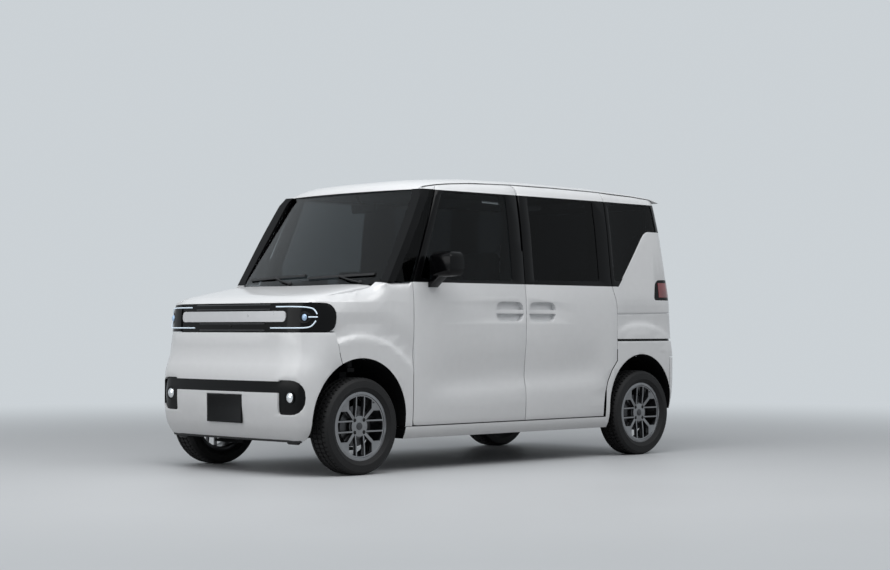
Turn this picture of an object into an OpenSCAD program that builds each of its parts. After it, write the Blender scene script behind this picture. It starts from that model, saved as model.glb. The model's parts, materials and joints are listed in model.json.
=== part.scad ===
// A small upright electric car with a short nose, sliding rear doors and black glass all round.
// Millimetres. The origin is on the ground under the car's middle, +Z is up, the front faces -Y
// and the car's left side is +X.

/* [Overall] */
// Length between the bumpers
car_l = 3395; // [3360:5:3400]
// Width without the mirrors
car_w = 1475; // [1460:5:1480]
// Height of the roof's crown
car_h = 1800; // [1780:5:1830]

/* [Running gear] */
// Front axle, behind the nose
front_overhang = 442; // [435:1:450]
// Rear axle, ahead of the tail
rear_overhang = 436; // [430:1:445]
// Distance between the middles of the left and right tyres
track = 1300; // [1290:2:1304]
// Outer diameter of the tyres
tyre_d = 563; // [550:1:570]
// Width of the tyres
tyre_w = 165; // [150:5:170]
// Diameter of the rims at the bead
rim_d = 381; // [370:1:390]
// Radius of the axle stubs that carry the wheels
stub_r = 26; // [22:0.5:28]
// Running clearance between stub and wheel
stub_gap = 0.05; // [0.03:0.01:0.08]
// Distance of the steering axis from the tyre's middle
scrub = 50; // [40:1:60]

/* [Body lines] */
// Height of the sill's underside
sill_z = 195; // [185:1:205]
// Height of the doors' lower edge
door_z = 268; // [260:1:280]
// Height of the belt line below the windows
belt_z = 1122; // [1110:1:1135]
// Depth of the window tops below the crown
window_drop = 113; // [105:1:120]
// Depth of the doors' upper edge below the roof's middle
door_drop = 44; // [40:1:50]
// Front edge of the front doors, behind the nose
door_start = 844.5; // [838:0.5:852]
// Split between front and sliding doors, behind the car's middle
door_split = 120; // [110:1:130]
// Rear edge of the sliding doors at the windows, ahead of the tail
slide_end = 740.5; // [734:0.5:748]
// Lower edge of the lamp band across the nose
band_z0 = 826; // [820:1:832]
// Upper edge of the lamp band
band_z1 = 990; // [984:1:994]
// Radius of the front wheel arches
front_arch_r = 345; // [340:1:350]
// Radius of the rear wheel arches
rear_arch_r = 328; // [324:1:332]
// Gap between neighbouring panels
panel_gap = 7; // [6:0.5:8]
// Thickness of the glass
glass_t = 6; // [4:0.5:8]
// Thickness of the doors at their widest
door_w = 112.5; // [108:0.5:117]

/* [Hidden] */

half_l = car_l / 2;
half_w = car_w / 2;
// Places behind the nose and ahead of the tail
function front(d) = d - half_l;
function rear(d) = half_l - d;
front_y = front(front_overhang);
rear_y = rear(rear_overhang);
door_front = half_l - door_start;
slide_rear = rear(slide_end);
axle_z = tyre_d / 2;
front_arch = [front_y, 330];
rear_arch = [rear_y, 345];
window_z = car_h - window_drop;
door_top = car_h - door_drop;
shoulder_z = car_h - 160;
g = panel_gap / 2;

// Body skin. Tables hold [height, setback] rows and are read as smooth curves.
nose_line = [[sill_z, 62], [265, 24], [330, 9], [430, 0], [560, 3], [615, 11], [655, 28], [700, 40],
             [band_z0, 45], [910, 48], [band_z1, 56], [1100, 90]];
tail_line = [[sill_z, 60], [300, 34], [400, 8], [520, 0], [660, 2], [760, 14], [900, 22], [1100, 38],
             [1300, 60], [1500, 84], [window_z, 112], [car_h, 130]];
side_line = [[sill_z, 42], [sill_z + 35, 24], [door_z, 14], [330, 8], [420, 5], [700, 1], [870, 0],
             [1000, 2], [belt_z - 50, 7], [belt_z, 13], [1300, 31], [1500, 53], [shoulder_z, 75],
             [car_h, 96]];
corner_front = [[sill_z, 140], [600, 160], [band_z0, 190], [1100, 200]];
corner_rear = 132;
corner_power = 2.4;
nose_bow = 34;
tail_bow = 26;
// Rows of [position, depth below the crown]
roof_line = [[front(927.5), 128], [front(947.5), 104], [front(962.5), 86], [front(997.5), 66],
    [front(1057.5), 48], [front(1197.5), 29], [front(1497.5), 9],
             [300, 0], [rear(797.5), 5], [rear(397.5), 17], [rear(197.5), 30], [rear(127.5), 44],
                 [rear(57.5), 80]];
bonnet_line = [[front(-2.5), 150], [front(57.5), 118], [front(97.5), 103], [front(197.5), 79],
    [front(397.5), 40], [front(577.5), 10], [front(697.5), 0]];
bonnet_top = belt_z;
cabin_w = half_w - door_w;
rail_x = cabin_w - 42;
inner_x = cabin_w - 65;
wing_x = cabin_w + 20;
roof_w = cabin_w + 15;
tailgate_top = car_h - 96;
screen_base = front(585.5);
screen_rake = 0.65;
screen_bow = 66;

function ease(t) = let(s = max(0, min(1, t))) s * s * (3 - 2 * s);
function row_of(t, v, i = 0) = i >= len(t) - 2 || v < t[i + 1][0] ? i : row_of(t, v, i + 1);
function slope(t, i) = i == 0 ? (t[1][1] - t[0][1]) / (t[1][0] - t[0][0])
    : i == len(t) - 1 ? (t[i][1] - t[i - 1][1]) / (t[i][0] - t[i - 1][0])
    : (t[i + 1][1] - t[i][1]) * (t[i][1] - t[i - 1][1]) <= 0 ? 0
    : (t[i + 1][1] - t[i - 1][1]) / (t[i + 1][0] - t[i - 1][0]);
// Value of a smooth curve through the rows of a table
function along(t, v) = let(i = row_of(t, v), h = t[i + 1][0] - t[i][0], s = (v - t[i][0]) / h,
    a = slope(t, i) * h, b = slope(t, i + 1) * h, p = t[i][1], q = t[i + 1][1])
    p + s * (a + s * (3 * (q - p) - 2 * a - b + s * (2 * (p - q) + a + b)));

function nose_y(z) = -half_l + along(nose_line, z);
function tail_y(z) = half_l - along(tail_line, z);
function roof_z(y) = car_h - along(roof_line, y);
function top_edge(y) = roof_z(y) - door_drop;
function bonnet_z(y) = bonnet_top - along(bonnet_line, y);
// Setback of the flanks around the raised borders of the wheel arches
function setback(y, z) = 9 * ease((-door_front - y) / 200) * ease((norm([y, z] - front_arch) - 470) / 50)
                       + 9 * ease((y - slide_rear - 40) / 150) * ease((norm([y, z] - rear_arch) - 455) / 50);
function hollow(y, z) = let(line = 540 + 0.035 * y)
    20 * exp(-pow((z - line) / (z < line ? 62 : 165), 2))
        * ease((y - front(857.5)) / 420) * ease((rear(792.5) - y) / 170);
function flank_bow(y) = 22 * pow(max(0, front(1097.5) - y) / 1000, 2)
    + 17 * pow(max(0, y - rear(1197.5)) / 1000, 2);
function rounding(z, low, top, power) = z <= low ? 1
    : pow(max(0.02, 1 - pow((z - low) / (top - low), power)), 1 / power);
function wing_top(y) = bonnet_z(y) + 600 * ease((y - front(567.5)) / 160);
// Half width of the body at a place on its flank
function flank_x(y, z) = (half_w - along(side_line, z) - flank_bow(y) - hollow(y, z) - setback(y, z))
    * (z > shoulder_z ? rounding(z, shoulder_z, roof_z(y), 4) : 1)
    * (y < front(747.5) ? rounding(z, 760, wing_top(y), 8) : 1);

FACE = 0; CORNER = 1; WING = 2; SIDE = 3; QUARTER = 4; BACK_CORNER = 5; BACK = 6;
function wing_start(z) = nose_y(z) + nose_bow + along(corner_front, z);
function quarter_end(z) = tail_y(z) - tail_bow - corner_rear;
function arc(a) = pow(max(0, a), 2 / corner_power);
// Point of the skin: column [kind, place], where place is a share, an angle or a position
function skin(c, z) = let(k = c[0], v = c[1])
    k == FACE ? let(x = v * (flank_x(wing_start(z), z) - along(corner_front, z)))
        [x, nose_y(z) + nose_bow * pow(x / half_w, 2), z]
    : k == CORNER ? let(a = along(corner_front, z), x = flank_x(wing_start(z), z) - a + a * arc(sin(v)))
        [x, nose_y(z) + nose_bow * pow(x / half_w, 2) + a * (1 - arc(cos(v))), z]
    : k == WING ? let(y = wing_start(z) + v * (-door_front + 40 - wing_start(z))) [flank_x(y, z), y, z]
    : k == SIDE ? [flank_x(v, z), v, z]
    : k == QUARTER ? let(y = slide_rear - 100 + v * (quarter_end(z) - slide_rear + 100)) [flank_x(y, z), y, z]
    : k == BACK_CORNER ? let(a = corner_rear, x = flank_x(quarter_end(z), z) - a + a * arc(sin(v)))
        [x, tail_y(z) - tail_bow * pow(x / half_w, 2) - a * (1 - arc(cos(v))), z]
    : let(x = v * (flank_x(quarter_end(z), z) - corner_rear))
        [x, tail_y(z) - tail_bow * pow(x / half_w, 2), z];

heights = [sill_z, sill_z + 35, door_z, 300, 340, 380, 415, 445, 475, 505, 545, 590, 640, 690, 745, 805,
           870, 940, 1000, 1045, 1085, belt_z, 1200, 1300, 1400, 1500, 1580, shoulder_z, car_h - 115,
           car_h - 85, car_h - 65, car_h - 52];
function levels(low, high) = concat([low], [for (z = heights) if (z > low + 8 && z < high - 8) z], [high]);

// Solid between a grid of skin points and two back points a row
module slab(grid, back)
{
    n = len(grid) - 1;
    m = len(grid[0]) - 1;
    half = floor(m / 2);
    points = concat([for (r = grid) each r], [for (r = back) each r]);
    q = (n + 1) * (m + 1);
    function o(i, k) = i * (m + 1) + k;
    skin_faces = [for (i = [0:n - 1]) for (k = [0:m - 1]) each
        [[o(i, k), o(i + 1, k), o(i + 1, k + 1)], [o(i, k), o(i + 1, k + 1), o(i, k + 1)]]];
    row_faces = [for (i = [0:n - 1]) let(a = q + 2 * i, b = a + 1, c = a + 2, d = a + 3) each
        [[a, c, o(i + 1, 0)], [a, o(i + 1, 0), o(i, 0)], [o(i, m), o(i + 1, m), d], [o(i, m), d, b],
         [b, d, c], [b, c, a]]];
    low_faces = concat([for (k = [0:m - 1]) [o(0, k), o(0, k + 1), q + (k < half ? 0 : 1)]],
                       [[o(0, half), q + 1, q]]);
    t = q + 2 * n;
    high_faces = concat([for (k = [0:m - 1]) [o(n, k + 1), o(n, k), t + (k < half ? 0 : 1)]],
                        [[t + 1, o(n, half), t]]);
    polyhedron(points, concat(skin_faces, row_faces, low_faces, high_faces));
}

// Left flank of the body, from the middle plane to the skin
module flank(columns, low, high)
{
    grid = [for (z = levels(low, high)) [for (c = columns) skin(c, z)]];
    slab(grid, [for (r = grid) [[0, r[0][1], r[0][2]], [0, r[len(r) - 1][1], r[0][2]]]]);
}

// Nose of the body from side to side, back to a given place
module nose(low, high, back_y)
{
    left = [for (z = levels(low, high)) concat([for (v = [0:0.25:1]) skin([FACE, v], z)],
        [for (v = [15:15:90]) skin([CORNER, v], z)],
        [for (s = [1:3]) let(y = wing_start(z) + s / 3 * (back_y - wing_start(z))) [flank_x(y, z), y, z]])];
    m = len(left[0]) - 1;
    grid = [for (r = left) concat([for (k = [m:-1:1]) [-r[k][0], r[k][1], r[k][2]]], r)];
    slab(grid, [for (r = left) [[-half_w / 2, back_y, r[0][2]], [half_w / 2, back_y, r[0][2]]]]);
}

// Roof's crown, down to a flat underside
function roof_at(x, y) = let(w = flank_x(y, shoulder_z))
    shoulder_z + (roof_z(y) - shoulder_z) * pow(max(0.001, 1 - pow(abs(x) / w, 4)), 0.25);
module roof_slab(low)
{
    xs = [for (s = [-10:10]) sign(s) * roof_w * (1 - pow(1 - abs(s) / 10, 1.5))];
    grid = [for (row = roof_line) let(y = row[0], bow = screen_bow * (1 - ease((y - front(927.5)) / 420)))
        [for (x = xs) [x, y + bow * pow(x / 600, 2), roof_at(x, y)]]];
    slab(grid, [for (r = grid) [[-roof_w, r[0][1], low], [roof_w, r[20][1], low]]]);
}

// Bonnet and scuttle, down to a flat underside
function nose_edge(x) = let(z = band_z1, a = along(corner_front, z), w = flank_x(wing_start(z), z))
    nose_y(z) + nose_bow * pow(x / half_w, 2)
    + a * (1 - pow(1 - pow(max(0, (abs(x) - w + a) / a), corner_power), 1 / corner_power));
function bonnet_at(x, y) = 760 + (bonnet_z(y) - 760) * pow(1 - pow(abs(x) / flank_x(y, 760), 8), 1 / 8);
module bonnet_slab(low)
{
    xs = [for (s = [-9:9]) sign(s) * (roof_w + 50) * (1 - pow(1 - abs(s) / 9, 1.4))];
    steps = [0, 10, 26, 50, 95, 160, 250, 350, 450, 550, 640];
    grid = [for (s = steps) [for (x = xs) let(y = nose_edge(x) + s)
        [x, y, bonnet_at(x, y) - 34 * pow(max(0, 1 - s / 95), 2.2)]]];
    slab(grid, [for (r = grid) [[-roof_w - 50, r[0][1], low], [roof_w + 50, r[18][1], low]]]);
}

// Windscreen's outer face, back to a given place
function screen_y(x, z) = screen_base + (z - belt_z) * screen_rake + screen_bow * pow(x / 600, 2);
module screen(low, high, back_y)
{
    xs = [for (s = [-6:6]) s / 6 * (roof_w + 80)];
    grid = [for (z = [low, (low * 2 + high) / 3, (low + high * 2) / 3, high])
        [for (x = xs) [x, screen_y(x, z), z]]];
    slab(grid, [for (r = grid) [[-roof_w - 80, back_y, r[0][2]], [roof_w + 80, back_y, r[0][2]]]]);
}

// Tail of the body from side to side, forward to a given place
module tail(low, high, front_y)
{
    left = [for (z = levels(low, high)) concat([for (v = [0:0.25:1]) skin([BACK, v], z)],
        [for (v = [15:15:90]) skin([BACK_CORNER, v], z)],
        [let(y = (quarter_end(z) + front_y) / 2) [flank_x(y, z), y, z], [flank_x(front_y, z), front_y, z]])];
    m = len(left[0]) - 1;
    grid = [for (r = left) concat([for (k = [m:-1:1]) r[k]], [r[0]],
        [for (k = [1:m]) [-r[k][0], r[k][1], r[k][2]]])];
    slab(grid, [for (r = left) [[half_w / 2, front_y, r[0][2]], [-half_w / 2, front_y, r[0][2]]]]);
}

// Prisms on outlines seen from the left side, from the front and from above
module side_cut(low_x, high_x) translate([low_x, 0, 0]) rotate([90, 0, 90])
    linear_extrude(high_x - low_x) children();
module front_cut(low_y, high_y) translate([0, high_y, 0]) rotate([90, 0, 0])
    linear_extrude(high_y - low_y) children();
module block(low, high) translate(low) cube(high - low);
module pair() { children(); mirror([1, 0, 0]) children(); }

function turn(a, b, c, d, n = 5) = d == 0 ? [b] : let(u = (a - b) / norm(a - b), v = (c - b) / norm(c - b))
    [for (j = [0:n]) let(t = j / n) (1 - t) * (1 - t) * (b + u * d) + 2 * t * (1 - t) * b
        + t * t * (b + v * d)];
// Outline of [across, up, corner] rows with its corners rounded
function rounded(p) = [for (i = [0:len(p) - 1]) let(l = len(p), a = p[(i + l - 1) % l], b = p[i],
    c = p[(i + 1) % l])
    each turn([a[0], a[1]], [b[0], b[1]], [c[0], c[1]], b[2])];

// Outlines on the left flank, across is toward the rear
module front_door_outline() polygon(rounded([[-door_front, door_z, 34], [-door_front, belt_z, 12],
    [front(1097.5), window_z + 4, 16], [front(1125.5), top_edge(front(1125.5)), 16],
        [front(1247.5), top_edge(front(1247.5)), 20], [front(1447.5), top_edge(front(1447.5)), 20],
    [door_split, top_edge(door_split), 0], [door_split, door_z, 0]]));
module front_door_window() polygon(rounded([[front(907.5), belt_z + 20, 24],
    [front(1149.5), window_z - 12, 22],
    [door_split - 114, window_z - 12, 14], [door_split - 114, belt_z + 20, 14]]));
module sliding_door_outline() difference() {
    polygon(rounded([[door_split, door_z, 0], [rear_y - 200, door_z, 0], [slide_rear + 48, 560, 60],
        [slide_rear + 48, belt_z - 110, 50], [slide_rear, belt_z + 14, 50],
        [slide_rear, top_edge(slide_rear), 0], [rear(1197.5), top_edge(rear(1197.5)), 0],
            [door_split, top_edge(door_split), 0]]));
    translate(rear_arch) circle(rear_arch_r + 57);
    translate([rear_y - rear_arch_r - 57, 0]) square([600, rear_arch[1]]);
}
module sliding_door_window() polygon(rounded([[door_split + 86, belt_z + 26, 16],
    [door_split + 86, window_z - 10, 16],
    [slide_rear - 120, window_z - 10, 20], [slide_rear - 120, belt_z + 32, 20]]));
module quarter_window() polygon(rounded([[slide_rear + 36, belt_z + 38, 14],
    [slide_rear + 36, window_z - 10, 16],
    [rear(225.5), window_z - 10, 18],
    [rear(197.5), 1505, 24], [rear(327.5), 1500, 50], [rear(567.5), belt_z + 100, 44],
        [rear(625.5), belt_z + 38, 30]]));
module front_quarter_outline() polygon([[front(712.5), belt_z + 3], [front(1057.5), window_z + 2.3],
    [front(1095.5), window_z + 2.3], [front(831.5), belt_z + 3]]);
module headlamp_side() polygon(rounded([[front(-62.5), band_z0, 0], [front(257.5), band_z0, 80],
    [front(257.5), band_z1, 80], [front(-62.5), band_z1, 0]]));
module bumper_side() polygon([[front(-102.5), 150], [front(457.5), 150], [front(277.5), 690],
    [front(247.5), band_z0], [front(-102.5), band_z0]]);
module tail_lamp_side() polygon(rounded([[rear(284.5), 1036, 26], [rear(-62.5), 1036, 0],
    [rear(-62.5), 1174, 0], [rear(257.5), 1174, 50]]));
module arch_outline(centre, r) union() {
    translate(centre) circle(r);
    translate([centre[0] - r, 0]) square([2 * r, centre[1]]);
}
// Everything above the roof's side joints
module above_doors(d) polygon(concat([for (y = [front(937.5), front(967.5), front(997.5), front(1057.5),
    front(1125.5), front(1247.5), front(1447.5), door_split, rear(1197.5), slide_rear, rear(397.5),
    rear(197.5), rear(57.5)])
    [y, top_edge(y) + d]], [[rear(57.5), car_h + 60], [front(937.5), car_h + 60]]));
// Outlines from the front and from the rear
module screen_outline() polygon(rounded([[-wing_x - 7, belt_z - 14, 60], [41 - cabin_w, window_z + 2, 60],
    [cabin_w - 41, window_z + 2, 60], [wing_x + 7, belt_z - 14, 60]]));
module tailgate_outline() polygon(rounded([[-cabin_w - 3, 655, 50], [3 - cabin_w, 1180, 0],
    [37 - cabin_w, tailgate_top, 40],
    [cabin_w - 37, tailgate_top, 40], [cabin_w - 3, 1180, 0], [cabin_w + 3, 655, 50]]));
module tailgate_window() polygon(rounded([[-inner_x, 1170, 50], [30 - inner_x, window_z - 22, 50],
    [inner_x - 30, window_z - 22, 50], [inner_x, 1170, 50]]));
module lower_grille_outline() {
    translate([-490, 478]) square([980, 66]);
    for (s = [-1, 1]) polygon(rounded([[s * 478, 354, 20], [s * 478, 552, 20], [s * 672, 552, 95],
        [s * 672, 354, 95]]));
}

// A door's depth, reaching further in above the window
module door_depth()
{
    side_cut(cabin_w, 900) children();
    side_cut(rail_x, 900) intersection() {
        children();
        translate([-2000, window_z - 8]) square([4000, 400]);
    }
}
module front_door()
    difference() {
        intersection() {
            flank([for (y = [-door_front - 30:84:door_split + 60]) [SIDE, y]], door_z - 20, door_top + 4);
            door_depth() offset(delta = -g) front_door_outline();
        }
        side_cut(rail_x - 20, 900) front_door_window();
        block([rail_x - 5, door_split - g - 10, 0], [cabin_w + 78, door_split, car_h]);
        front_handle_bowl();
    }
module door_glass() glass([for (y = [-door_front - 7:125:door_split + 20]) [SIDE, y]]) front_door_window();
module glass(columns) difference() {
    intersection() {
        translate([-4, 0, 0]) flank(columns, belt_z - 8, window_z + 8);
        side_cut(inner_x, 900) offset(delta = -0.3) children();
    }
    translate([-4 - glass_t, 0, 0]) flank(columns, belt_z - 20, window_z + 20);
}
// Bowl behind a door handle, with its bar left standing
module front_handle_bowl() handle_bowl(door_split - 150);
module handle_bowl(y) difference() {
    intersection() {
        side_cut(half_w - 34, 900) translate([y, 950]) polygon(rounded([[-125, -62, 60], [-125, 62, 60],
            [125, 62, 60], [125, -62, 60]]));
        block([half_w - 34, y - 200, 800], [900, y + 200, 1100]);
    }
    block([half_w - 22, y - 150, 938], [half_w - 3, y + 150, 962]);
}
module sliding_door()
    difference() {
        intersection() {
            flank([for (y = [door_split - 30:86:slide_rear + 130]) [SIDE, y]], door_z - 20, door_top + 4);
            door_depth() offset(delta = -g) sliding_door_outline();
        }
        side_cut(rail_x - 20, 900) sliding_door_window();
        handle_bowl(door_split + 150);
    }

module side_frame()
{
    rear_columns = concat([for (v = [0:0.125:1]) [QUARTER, v]], [for (v = [75:-15:15]) [BACK_CORNER, v]]);
    // Rear quarter around the window, the wheel arch and the lamp
    difference() {
        union() {
            intersection() {
                flank(rear_columns, sill_z, door_top);
                side_cut(rail_x, 900) difference() {
                    translate([slide_rear - 60, sill_z - 10]) square([900, car_h]);
                    offset(delta = g) sliding_door_outline();
                    arch_outline(rear_arch, rear_arch_r);
                    translate([rear(125.5), 0]) square([400, 653]);
                    quarter_window();
                    above_doors(-g);
                }
            }
            // Sill below the doors
            intersection() {
                flank([for (i = [0:13])
                    [SIDE, -door_front - 62 + i / 13 * (door_front + slide_rear + 49)]], sill_z, door_z - g);
                side_cut(inner_x, 900) difference() {
                    translate([-door_front - 52, sill_z - 5]) square([door_front + slide_rear - 8, door_z]);
                    arch_outline(front_arch, front_arch_r);
                    arch_outline(rear_arch, rear_arch_r);
                }
            }
            // Corner over the front quarter light
            intersection() {
                flank([for (i = [0:4]) [SIDE, front(937.5 + 60 * i)]], window_z - 5, door_top);
                side_cut(rail_x + 0.6, 900) difference() {
                    translate([front(970.5), window_z + 2.3]) square([300, 200]);
                    offset(delta = g) front_door_outline();
                    above_doors(-g);
                }
            }
            // Rail over the doors and the posts below it: middle, reach forward, reach back, foot
            side_cut(inner_x - 20, rail_x - 6) difference() {
                translate([front(1067.5), window_z + 7]) square([slide_rear + 60 - front(1067.5), 140]);
                above_doors(g - 0.3);
            }
            for (post = [[door_split, 55, 55, sill_z + 20],
                [slide_rear, 60, 40, sill_z + 20 + rear_arch_r]]) {
                block([inner_x, post[0] - post[1], post[3]], [cabin_w - 8, post[0] + post[2], window_z - 20]);
                block([inner_x - 20, post[0] - post[1], window_z - 60],
                    [rail_x - 6, post[0] + post[2], window_z + 20]);
            }
            block([inner_x, -door_front - 50, sill_z + 20], [wing_x - 0.3, -door_front - g - 2, belt_z - 40]);
            for (z = [430, 900]) block([cabin_w - 25, -door_front - g - 5, z],
                [cabin_w + 15, -door_front + g - 0.3, z + 60]);
            for (y = [door_split + 40, slide_rear - 60]) block([cabin_w - 25, y, 620],
                [cabin_w - 0.3, y + 15, 680]);
        }
        front_cut(rear(257.5), rear(-102.5)) offset(delta = g) tailgate_outline();
        side_cut(wing_x - 9.5, 900) offset(delta = 0.5) tail_lamp_side();
        // Slide rail and panel line cut into the skin: height in front, height behind, width, depth
        for (line = [[760, 760, 16, 9], [936, 952, 5, 6]]) difference() {
            side_cut(rail_x, 900) polygon([[slide_rear + 30, line[0]], [rear(-62.5), line[1]],
                [rear(-62.5), line[1] + line[2]], [slide_rear + 30, line[0] + line[2]]]);
            translate([-line[3], -line[3], 0]) flank(rear_columns, sill_z, door_top);
        }
    }
}
module side_frame_left() color("white") side_frame();
module side_frame_right() color("white") mirror([1, 0, 0]) side_frame();
module front_door_left() color("white") front_door();
module front_door_right() color("white") mirror([1, 0, 0]) front_door();
module sliding_door_left() color("white") sliding_door();
module sliding_door_right() color("white") mirror([1, 0, 0]) sliding_door();
module door_glass_left() color("black") door_glass();
module door_glass_right() color("black") mirror([1, 0, 0]) door_glass();
module side_glass() color("black") pair() {
    glass([for (y = [door_split - 10:110:slide_rear]) [SIDE, y]]) sliding_door_window();
    glass(concat([for (v = [0:0.2:1]) [QUARTER, v]], [for (v = [75, 60, 45]) [BACK_CORNER, v]]))
        quarter_window();
    glass([for (i = [0:5]) [SIDE, front(637.5 + 90 * i)]]) front_quarter_outline();
}

module roof() color("white") {
    difference() {
        intersection() {
            roof_slab(window_z - 40);
            block([-700, front(897.5), window_z + 2.3], [700, rear(-2.5), car_h + 20]);
            union() {
                side_cut(-700, 700) difference() {
                    above_doors(g);
                    translate([rear(125.5), 0]) square([500, 3000]);
                }
                side_cut(-rail_x - 0.3, rail_x + 0.3) polygon([[front(897.5), window_z],
                    [front(1052.5), window_z],
                    [front(1057.5), car_h - 60], [front(1057.5), car_h + 50], [front(897.5), car_h + 50]]);
            }
        }
        intersection() {
            translate([0, 0, -26]) roof_slab(window_z - 80);
            block([-540, front(1137.5), window_z - 90], [540, rear(237.5), car_h]);
        }
    }
    // Leaves of the tailgate's hinges
    for (s = [-1, 1]) block([s * 380 - 30, rear(197.5), tailgate_top - g + 0.3],
        [s * 380 + 30, rear(137.5), car_h - 55]);
}
module front_wings() color("white") pair() difference() {
    intersection() {
        flank(concat([for (v = [15:15:90]) [CORNER, v]], [for (v = [0.11:0.11:1]) [WING, v]]),
            door_z - 10, belt_z);
        side_cut(wing_x, 900) difference() {
            translate([front(57.5), door_z]) square([door_start - 57.5 - g, belt_z - 3 - door_z]);
            offset(delta = g) headlamp_side();
            offset(delta = g) bumper_side();
            arch_outline(front_arch, front_arch_r);
        }
    }
}
module front_bumper() color("white") difference() {
    intersection() {
        nose(205, band_z0 - g, front(317.5));
        side_cut(-900, 900) difference() {
            offset(delta = -0.4) bumper_side();
            arch_outline(front_arch, front_arch_r);
        }
    }
    linear_extrude(1000) polygon([[-wing_x - 10, front(497.5)], [-wing_x - 10, front(197.5)],
        [75 - wing_x, front(97.5)], [wing_x - 75, front(97.5)], [wing_x + 10, front(197.5)],
        [wing_x + 10, front(497.5)]]);
    front_cut(front(-102.5), front(137.5)) lower_grille_outline();
    block([-168, front(-102.5), 292], [168, front(13.5), 464]);
}
module front_plate() color("black") block([-165, front(1.5), 295.5], [165, front(13.2), 460.5]);
module grilles() color("black") {
    difference() {
        intersection() {
            translate([0, 6, 0]) nose(band_z0 - 20, band_z1 + 20, front(317.5));
            front_cut(front(-102.5), front(197.5)) translate([-504, band_z0 - g + 0.3])
                square([1008, band_z1 - band_z0 + g - 2.3]);
        }
        translate([0, 50, 0]) nose(band_z0 - 30, band_z1 + 30, front(367.5));
        difference() {
            front_cut(front(-102.5), front(197.5)) offset(delta = 0.3) nose_bar_outline();
            translate([0, 20.3, 0]) nose(band_z0 - 30, band_z1 + 30, front(367.5));
        }
    }
    difference() {
        intersection() {
            translate([0, 12, 0]) nose(330, 580, front(297.5));
            front_cut(front(-102.5), front(197.5)) offset(delta = -0.3) lower_grille_outline();
        }
        translate([0, 52, 0]) nose(320, 590, front(317.5));
        for (s = [-1, 1]) translate([s * 566, front(147.5), 453]) rotate([90, 0, 0])
            cylinder(r = 40.3, h = 250);
    }
}
module nose_bar_outline() polygon(rounded([[-490, 884, 30], [-490, 946, 30], [490, 946, 30],
    [490, 884, 30]]));
module nose_bar() color("silver") difference() {
    intersection() {
        nose(band_z0 - 20, band_z1 + 20, front(317.5));
        front_cut(front(-102.5), front(197.5)) nose_bar_outline();
    }
    translate([0, 20, 0]) nose(band_z0 - 30, band_z1 + 30, front(367.5));
}
module front_lamps() color("gray") pair() {
    difference() {
        intersection() {
            nose(band_z0 - 20, band_z1 + 20, front(317.5));
            side_cut(504.3, 900) headlamp_side();
        }
        translate([-45, 45, 0]) nose(band_z0 - 30, band_z1 + 30, front(367.5));
    }
    translate([566, front(87.5), 453]) rotate([90, 0, 0]) cylinder(r = 40, h = 56);
}
// Rear edge of the bonnet ahead of the windscreen, straight between seven places
function bonnet_end(x) = let(w = 700 / 6, i = min(5, floor(abs(x) / w)), t = abs(x) / w - i)
    (1 - t) * screen_y(i * w, belt_z) + t * screen_y((i + 1) * w, belt_z) - 62;
module bonnet() color("white") {
    intersection() {
        bonnet_slab(900);
        side_cut(-wing_x + panel_gap, wing_x - panel_gap) polygon([[front(-2.5), band_z1 + g],
            [front(117.5), band_z1 + g], [front(497.5), 1035], [front(697.5), 1035],
            [front(697.5), 1200], [front(-2.5), 1200]]);
        linear_extrude(1300) polygon(concat([[-700, front(-102.5)], [700, front(-102.5)]],
            [for (s = [6:-1:-6]) [s / 6 * 700, bonnet_end(s / 6 * 700)]]));
    }
}
module windscreen_frame() color("black") {
    pair() difference() {
        intersection() {
            flank([for (i = [0:9]) [SIDE, front(597.5 + 60 * i)]], belt_z - 2.7, window_z + 2);
            side_cut(inner_x, 900) polygon([[front(651.5), belt_z - 10], [front(712.2), belt_z + 3],
                [front(1057.2), window_z + 4], [front(1057.2), window_z + 20],
                [front(997.5), window_z + 20]]);
        }
        front_cut(front(397.5), front(1197.5)) offset(delta = 0.3) screen_outline();
    }
    intersection() {
        translate([0, 0, -9]) bonnet_slab(900);
        translate([0, 0, 1040]) linear_extrude(260) polygon(concat(
            [for (s = [-6:6]) [s / 6 * 700, bonnet_end(s / 6 * 700) + panel_gap]],
            [for (s = [6:-1:-6]) [s / 6 * 700, bonnet_end(s / 6 * 700) + 102]]));
        block([0.3 - wing_x, front(397.5), 1000], [wing_x - 0.3, front(797.5), 1300]);
    }
    // Leaves of the bonnet's hinges
    pair() translate([0, 0, 1042]) linear_extrude(33) polygon([for (p = [[530, 0.3], [580, 0.3],
        [580, 40], [530, 40]])
        [p[0], bonnet_end(p[0]) + p[1]]]);
}
module windscreen() color("black") difference() {
    intersection() {
        screen(belt_z - 20, window_z + 20, front(1197.5));
        front_cut(front(397.5), front(1197.5)) screen_outline();
    }
    translate([0, glass_t, 0]) screen(belt_z - 40, window_z + 40, front(1217.5));
}
module rear_bumper() color("white") difference() {
    intersection() {
        tail(300, 650, rear(227.5));
        side_cut(-900, 900) difference() {
            translate([rear(122.5), 280]) square([300, 367]);
            arch_outline(rear_arch, rear_arch_r);
        }
    }
    linear_extrude(1000) polygon([[-wing_x - 10, rear(297.5)], [-wing_x - 10, rear(157.5)],
        [-600, rear(77.5)], [600, rear(77.5)], [wing_x + 10, rear(157.5)], [wing_x + 10, rear(297.5)]]);
}
function tail_inside(d) = [for (z = [600, 760, 1000, 1200, 1400, 1600, car_h]) [tail_y(z) - d, z]];
module tailgate() color("white") difference() {
    intersection() {
        tail(650, car_h - 50, rear(297.5));
        front_cut(rear(297.5), rear(-102.5)) offset(delta = -g) tailgate_outline();
        side_cut(-700, 700) polygon(concat(tail_inside(95), [[rear(-102.5), car_h], [rear(-102.5), 600]]));
    }
    front_cut(rear(297.5), rear(-102.5)) tailgate_window();
}
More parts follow.
